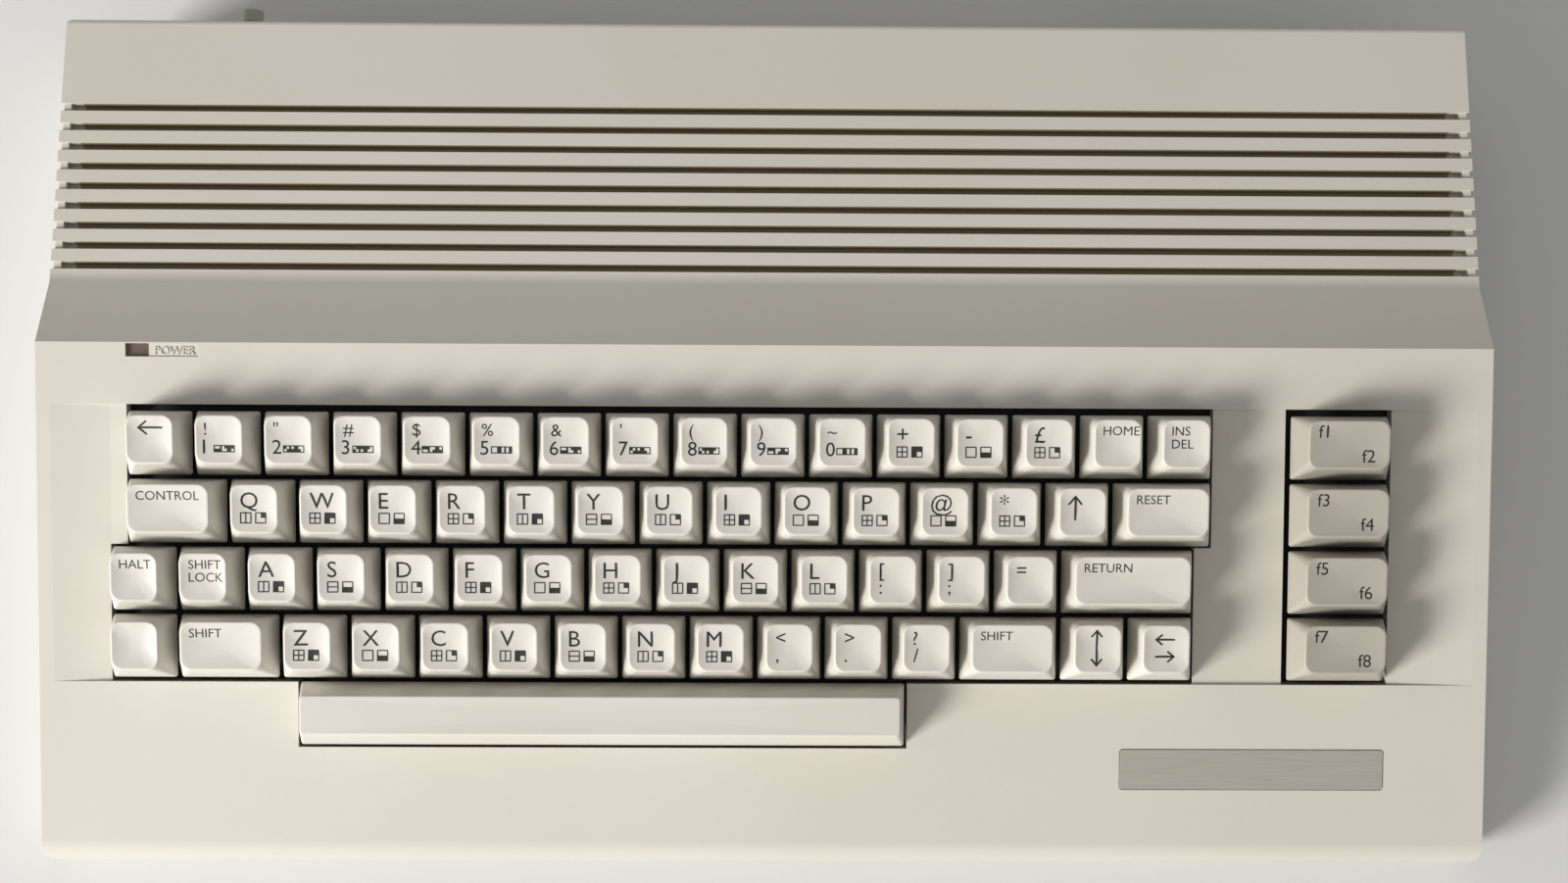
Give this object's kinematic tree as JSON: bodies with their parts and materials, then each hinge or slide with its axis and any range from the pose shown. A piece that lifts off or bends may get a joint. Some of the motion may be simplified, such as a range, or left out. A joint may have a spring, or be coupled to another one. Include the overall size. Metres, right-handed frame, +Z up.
{
  "type": "vintage home computer",
  "caption": "Wedge-shaped home computer: two-part cream case with grooved top, full sprung keyboard, mainboard, round and edge ports, power rocker and rear push button.",
  "frame": {"origin": "middle of the footprint, on the desk under the feet", "axes": "+X to the user's right, +Y to the rear, +Z up"},
  "size_m": [0.409, 0.25, 0.0588],
  "materials": {
    "case_cream": "fine satin texture",
    "key_white": "satin",
    "key_grey": "satin",
    "black_plastic": "matt",
    "badge_grey": "satin",
    "led_lens": "translucent look",
    "board_green": "lacquered",
    "board_tan": "lacquered",
    "steel": "plain",
    "chip_black": "matt",
    "ribbon_grey": "satin",
    "rubber_black": "matt",
    "socket_steel": "plated"
  },
  "bodies": {
    "case": {"top_case": "case_cream", "bottom_case": "case_cream", "badge_plate": "badge_grey", "power_led": "led_lens", "keyboard_frame": "black_plastic", "keyboard_pcb": "board_tan", "keyboard_brackets": "steel", "keyboard_cable": "ribbon_grey", "key_springs": "steel", "mainboard": "board_green", "circuit_chips": "chip_black", "rf_modulator": "socket_steel", "cartridge_socket": "black_plastic", "din_sockets": "socket_steel", "control_ports": "socket_steel", "switch_body": "black_plastic", "rear_button_body": "black_plastic", "screws": "steel", "rubber_feet": "rubber_black"},
    "key_q": {"key_q": "key_white"},
    "key_w": {"key_w": "key_white"},
    "key_e": {"key_e": "key_white"},
    "key_r": {"key_r": "key_white"},
    "key_t": {"key_t": "key_white"},
    "key_y": {"key_y": "key_white"},
    "key_u": {"key_u": "key_white"},
    "key_i": {"key_i": "key_white"},
    "key_o": {"key_o": "key_white"},
    "key_p": {"key_p": "key_white"},
    "key_a": {"key_a": "key_white"},
    "key_s": {"key_s": "key_white"},
    "key_d": {"key_d": "key_white"},
    "key_f": {"key_f": "key_white"},
    "key_g": {"key_g": "key_white"},
    "key_h": {"key_h": "key_white"},
    "key_j": {"key_j": "key_white"},
    "key_k": {"key_k": "key_white"},
    "key_l": {"key_l": "key_white"},
    "key_z": {"key_z": "key_white"},
    "key_x": {"key_x": "key_white"},
    "key_c": {"key_c": "key_white"},
    "key_v": {"key_v": "key_white"},
    "key_b": {"key_b": "key_white"},
    "key_n": {"key_n": "key_white"},
    "key_m": {"key_m": "key_white"},
    "key_control": {"key_control": "key_white"},
    "key_shift_lock": {"key_shift_lock": "key_white"},
    "key_return": {"key_return": "key_white"},
    "key_shift_left": {"key_shift_left": "key_white"},
    "key_shift_right": {"key_shift_right": "key_white"},
    "key_f1": {"key_f1": "key_grey"},
    "key_f3": {"key_f3": "key_grey"},
    "key_f5": {"key_f5": "key_grey"},
    "key_f7": {"key_f7": "key_grey"},
    "key_space": {"key_space": "key_white"},
    "number_row_keys": {"number_row_keys": "key_white"},
    "symbol_keys": {"symbol_keys": "key_white"},
    "space_bar_wire": {"space_bar_wire": "steel"},
    "switch_rocker": {"switch_rocker": "black_plastic"},
    "rear_button": {"rear_button": "key_grey"}
  },
  "joints": [
    {"name": "power_rocker", "type": "hinge", "parent": "case", "child": "switch_rocker", "pos_m": [0.1999, 0.067, 0.0177], "axis": [0, 0, 1], "range_deg": [0, 16]},
    {"name": "rear_button_press", "type": "slide", "parent": "case", "child": "rear_button", "axis": [0, -1, 0], "range_m": [0, 0.002], "stiffness_N_per_m": 300, "springref_m": -0.0005},
    {"name": "space_press", "type": "slide", "parent": "case", "child": "key_space", "axis": [0, 0.2419, -0.9703], "range_m": [0, 0.004], "stiffness_N_per_m": 150, "springref_m": -0.001, "deforming": ["key_springs"]},
    {"name": "stabiliser_turn", "type": "hinge", "parent": "case", "child": "space_bar_wire", "pos_m": [-0.04595, -0.07788, 0.0243], "axis": [1, 0, 0], "range_deg": [0, 23.59]},
    {"name": "q_press", "type": "slide", "parent": "case", "child": "key_q", "axis": [0, 0.2419, -0.9703], "range_m": [0, 0.004], "stiffness_N_per_m": 150, "springref_m": -0.001, "deforming": ["key_springs"]},
    {"name": "w_press", "type": "slide", "parent": "case", "child": "key_w", "axis": [0, 0.2419, -0.9703], "range_m": [0, 0.004], "stiffness_N_per_m": 150, "springref_m": -0.001, "deforming": ["key_springs"]},
    {"name": "e_press", "type": "slide", "parent": "case", "child": "key_e", "axis": [0, 0.2419, -0.9703], "range_m": [0, 0.004], "stiffness_N_per_m": 150, "springref_m": -0.001, "deforming": ["key_springs"]},
    {"name": "r_press", "type": "slide", "parent": "case", "child": "key_r", "axis": [0, 0.2419, -0.9703], "range_m": [0, 0.004], "stiffness_N_per_m": 150, "springref_m": -0.001, "deforming": ["key_springs"]},
    {"name": "t_press", "type": "slide", "parent": "case", "child": "key_t", "axis": [0, 0.2419, -0.9703], "range_m": [0, 0.004], "stiffness_N_per_m": 150, "springref_m": -0.001, "deforming": ["key_springs"]},
    {"name": "y_press", "type": "slide", "parent": "case", "child": "key_y", "axis": [0, 0.2419, -0.9703], "range_m": [0, 0.004], "stiffness_N_per_m": 150, "springref_m": -0.001, "deforming": ["key_springs"]},
    {"name": "u_press", "type": "slide", "parent": "case", "child": "key_u", "axis": [0, 0.2419, -0.9703], "range_m": [0, 0.004], "stiffness_N_per_m": 150, "springref_m": -0.001, "deforming": ["key_springs"]},
    {"name": "i_press", "type": "slide", "parent": "case", "child": "key_i", "axis": [0, 0.2419, -0.9703], "range_m": [0, 0.004], "stiffness_N_per_m": 150, "springref_m": -0.001, "deforming": ["key_springs"]},
    {"name": "o_press", "type": "slide", "parent": "case", "child": "key_o", "axis": [0, 0.2419, -0.9703], "range_m": [0, 0.004], "stiffness_N_per_m": 150, "springref_m": -0.001, "deforming": ["key_springs"]},
    {"name": "p_press", "type": "slide", "parent": "case", "child": "key_p", "axis": [0, 0.2419, -0.9703], "range_m": [0, 0.004], "stiffness_N_per_m": 150, "springref_m": -0.001, "deforming": ["key_springs"]},
    {"name": "a_press", "type": "slide", "parent": "case", "child": "key_a", "axis": [0, 0.2419, -0.9703], "range_m": [0, 0.004], "stiffness_N_per_m": 150, "springref_m": -0.001, "deforming": ["key_springs"]},
    {"name": "s_press", "type": "slide", "parent": "case", "child": "key_s", "axis": [0, 0.2419, -0.9703], "range_m": [0, 0.004], "stiffness_N_per_m": 150, "springref_m": -0.001, "deforming": ["key_springs"]},
    {"name": "d_press", "type": "slide", "parent": "case", "child": "key_d", "axis": [0, 0.2419, -0.9703], "range_m": [0, 0.004], "stiffness_N_per_m": 150, "springref_m": -0.001, "deforming": ["key_springs"]},
    {"name": "f_press", "type": "slide", "parent": "case", "child": "key_f", "axis": [0, 0.2419, -0.9703], "range_m": [0, 0.004], "stiffness_N_per_m": 150, "springref_m": -0.001, "deforming": ["key_springs"]},
    {"name": "g_press", "type": "slide", "parent": "case", "child": "key_g", "axis": [0, 0.2419, -0.9703], "range_m": [0, 0.004], "stiffness_N_per_m": 150, "springref_m": -0.001, "deforming": ["key_springs"]},
    {"name": "h_press", "type": "slide", "parent": "case", "child": "key_h", "axis": [0, 0.2419, -0.9703], "range_m": [0, 0.004], "stiffness_N_per_m": 150, "springref_m": -0.001, "deforming": ["key_springs"]},
    {"name": "j_press", "type": "slide", "parent": "case", "child": "key_j", "axis": [0, 0.2419, -0.9703], "range_m": [0, 0.004], "stiffness_N_per_m": 150, "springref_m": -0.001, "deforming": ["key_springs"]},
    {"name": "k_press", "type": "slide", "parent": "case", "child": "key_k", "axis": [0, 0.2419, -0.9703], "range_m": [0, 0.004], "stiffness_N_per_m": 150, "springref_m": -0.001, "deforming": ["key_springs"]},
    {"name": "l_press", "type": "slide", "parent": "case", "child": "key_l", "axis": [0, 0.2419, -0.9703], "range_m": [0, 0.004], "stiffness_N_per_m": 150, "springref_m": -0.001, "deforming": ["key_springs"]},
    {"name": "z_press", "type": "slide", "parent": "case", "child": "key_z", "axis": [0, 0.2419, -0.9703], "range_m": [0, 0.004], "stiffness_N_per_m": 150, "springref_m": -0.001, "deforming": ["key_springs"]},
    {"name": "x_press", "type": "slide", "parent": "case", "child": "key_x", "axis": [0, 0.2419, -0.9703], "range_m": [0, 0.004], "stiffness_N_per_m": 150, "springref_m": -0.001, "deforming": ["key_springs"]},
    {"name": "c_press", "type": "slide", "parent": "case", "child": "key_c", "axis": [0, 0.2419, -0.9703], "range_m": [0, 0.004], "stiffness_N_per_m": 150, "springref_m": -0.001, "deforming": ["key_springs"]},
    {"name": "v_press", "type": "slide", "parent": "case", "child": "key_v", "axis": [0, 0.2419, -0.9703], "range_m": [0, 0.004], "stiffness_N_per_m": 150, "springref_m": -0.001, "deforming": ["key_springs"]},
    {"name": "b_press", "type": "slide", "parent": "case", "child": "key_b", "axis": [0, 0.2419, -0.9703], "range_m": [0, 0.004], "stiffness_N_per_m": 150, "springref_m": -0.001, "deforming": ["key_springs"]},
    {"name": "n_press", "type": "slide", "parent": "case", "child": "key_n", "axis": [0, 0.2419, -0.9703], "range_m": [0, 0.004], "stiffness_N_per_m": 150, "springref_m": -0.001, "deforming": ["key_springs"]},
    {"name": "m_press", "type": "slide", "parent": "case", "child": "key_m", "axis": [0, 0.2419, -0.9703], "range_m": [0, 0.004], "stiffness_N_per_m": 150, "springref_m": -0.001, "deforming": ["key_springs"]},
    {"name": "control_press", "type": "slide", "parent": "case", "child": "key_control", "axis": [0, 0.2419, -0.9703], "range_m": [0, 0.004], "stiffness_N_per_m": 150, "springref_m": -0.001, "deforming": ["key_springs"]},
    {"name": "shift_lock_press", "type": "slide", "parent": "case", "child": "key_shift_lock", "axis": [0, 0.2419, -0.9703], "range_m": [0, 0.004], "stiffness_N_per_m": 150, "springref_m": -0.001, "deforming": ["key_springs"]},
    {"name": "return_press", "type": "slide", "parent": "case", "child": "key_return", "axis": [0, 0.2419, -0.9703], "range_m": [0, 0.004], "stiffness_N_per_m": 150, "springref_m": -0.001, "deforming": ["key_springs"]},
    {"name": "shift_left_press", "type": "slide", "parent": "case", "child": "key_shift_left", "axis": [0, 0.2419, -0.9703], "range_m": [0, 0.004], "stiffness_N_per_m": 150, "springref_m": -0.001, "deforming": ["key_springs"]},
    {"name": "shift_right_press", "type": "slide", "parent": "case", "child": "key_shift_right", "axis": [0, 0.2419, -0.9703], "range_m": [0, 0.004], "stiffness_N_per_m": 150, "springref_m": -0.001, "deforming": ["key_springs"]},
    {"name": "f1_press", "type": "slide", "parent": "case", "child": "key_f1", "axis": [0, 0.2419, -0.9703], "range_m": [0, 0.004], "stiffness_N_per_m": 150, "springref_m": -0.001, "deforming": ["key_springs"]},
    {"name": "f3_press", "type": "slide", "parent": "case", "child": "key_f3", "axis": [0, 0.2419, -0.9703], "range_m": [0, 0.004], "stiffness_N_per_m": 150, "springref_m": -0.001, "deforming": ["key_springs"]},
    {"name": "f5_press", "type": "slide", "parent": "case", "child": "key_f5", "axis": [0, 0.2419, -0.9703], "range_m": [0, 0.004], "stiffness_N_per_m": 150, "springref_m": -0.001, "deforming": ["key_springs"]},
    {"name": "f7_press", "type": "slide", "parent": "case", "child": "key_f7", "axis": [0, 0.2419, -0.9703], "range_m": [0, 0.004], "stiffness_N_per_m": 150, "springref_m": -0.001, "deforming": ["key_springs"]},
    {"name": "number_row_press", "type": "slide", "parent": "case", "child": "number_row_keys", "axis": [0, 0.2419, -0.9703], "range_m": [0, 0.004], "stiffness_N_per_m": 2400, "springref_m": -0.001, "deforming": ["key_springs"]},
    {"name": "symbol_press", "type": "slide", "parent": "case", "child": "symbol_keys", "axis": [0, 0.2419, -0.9703], "range_m": [0, 0.004], "stiffness_N_per_m": 2100, "springref_m": -0.001, "deforming": ["key_springs"]}
  ],
  "couplings": [
    {"joint": "stabiliser_turn", "follows": "space_press", "rad_per_m": 102.88}
  ]
}
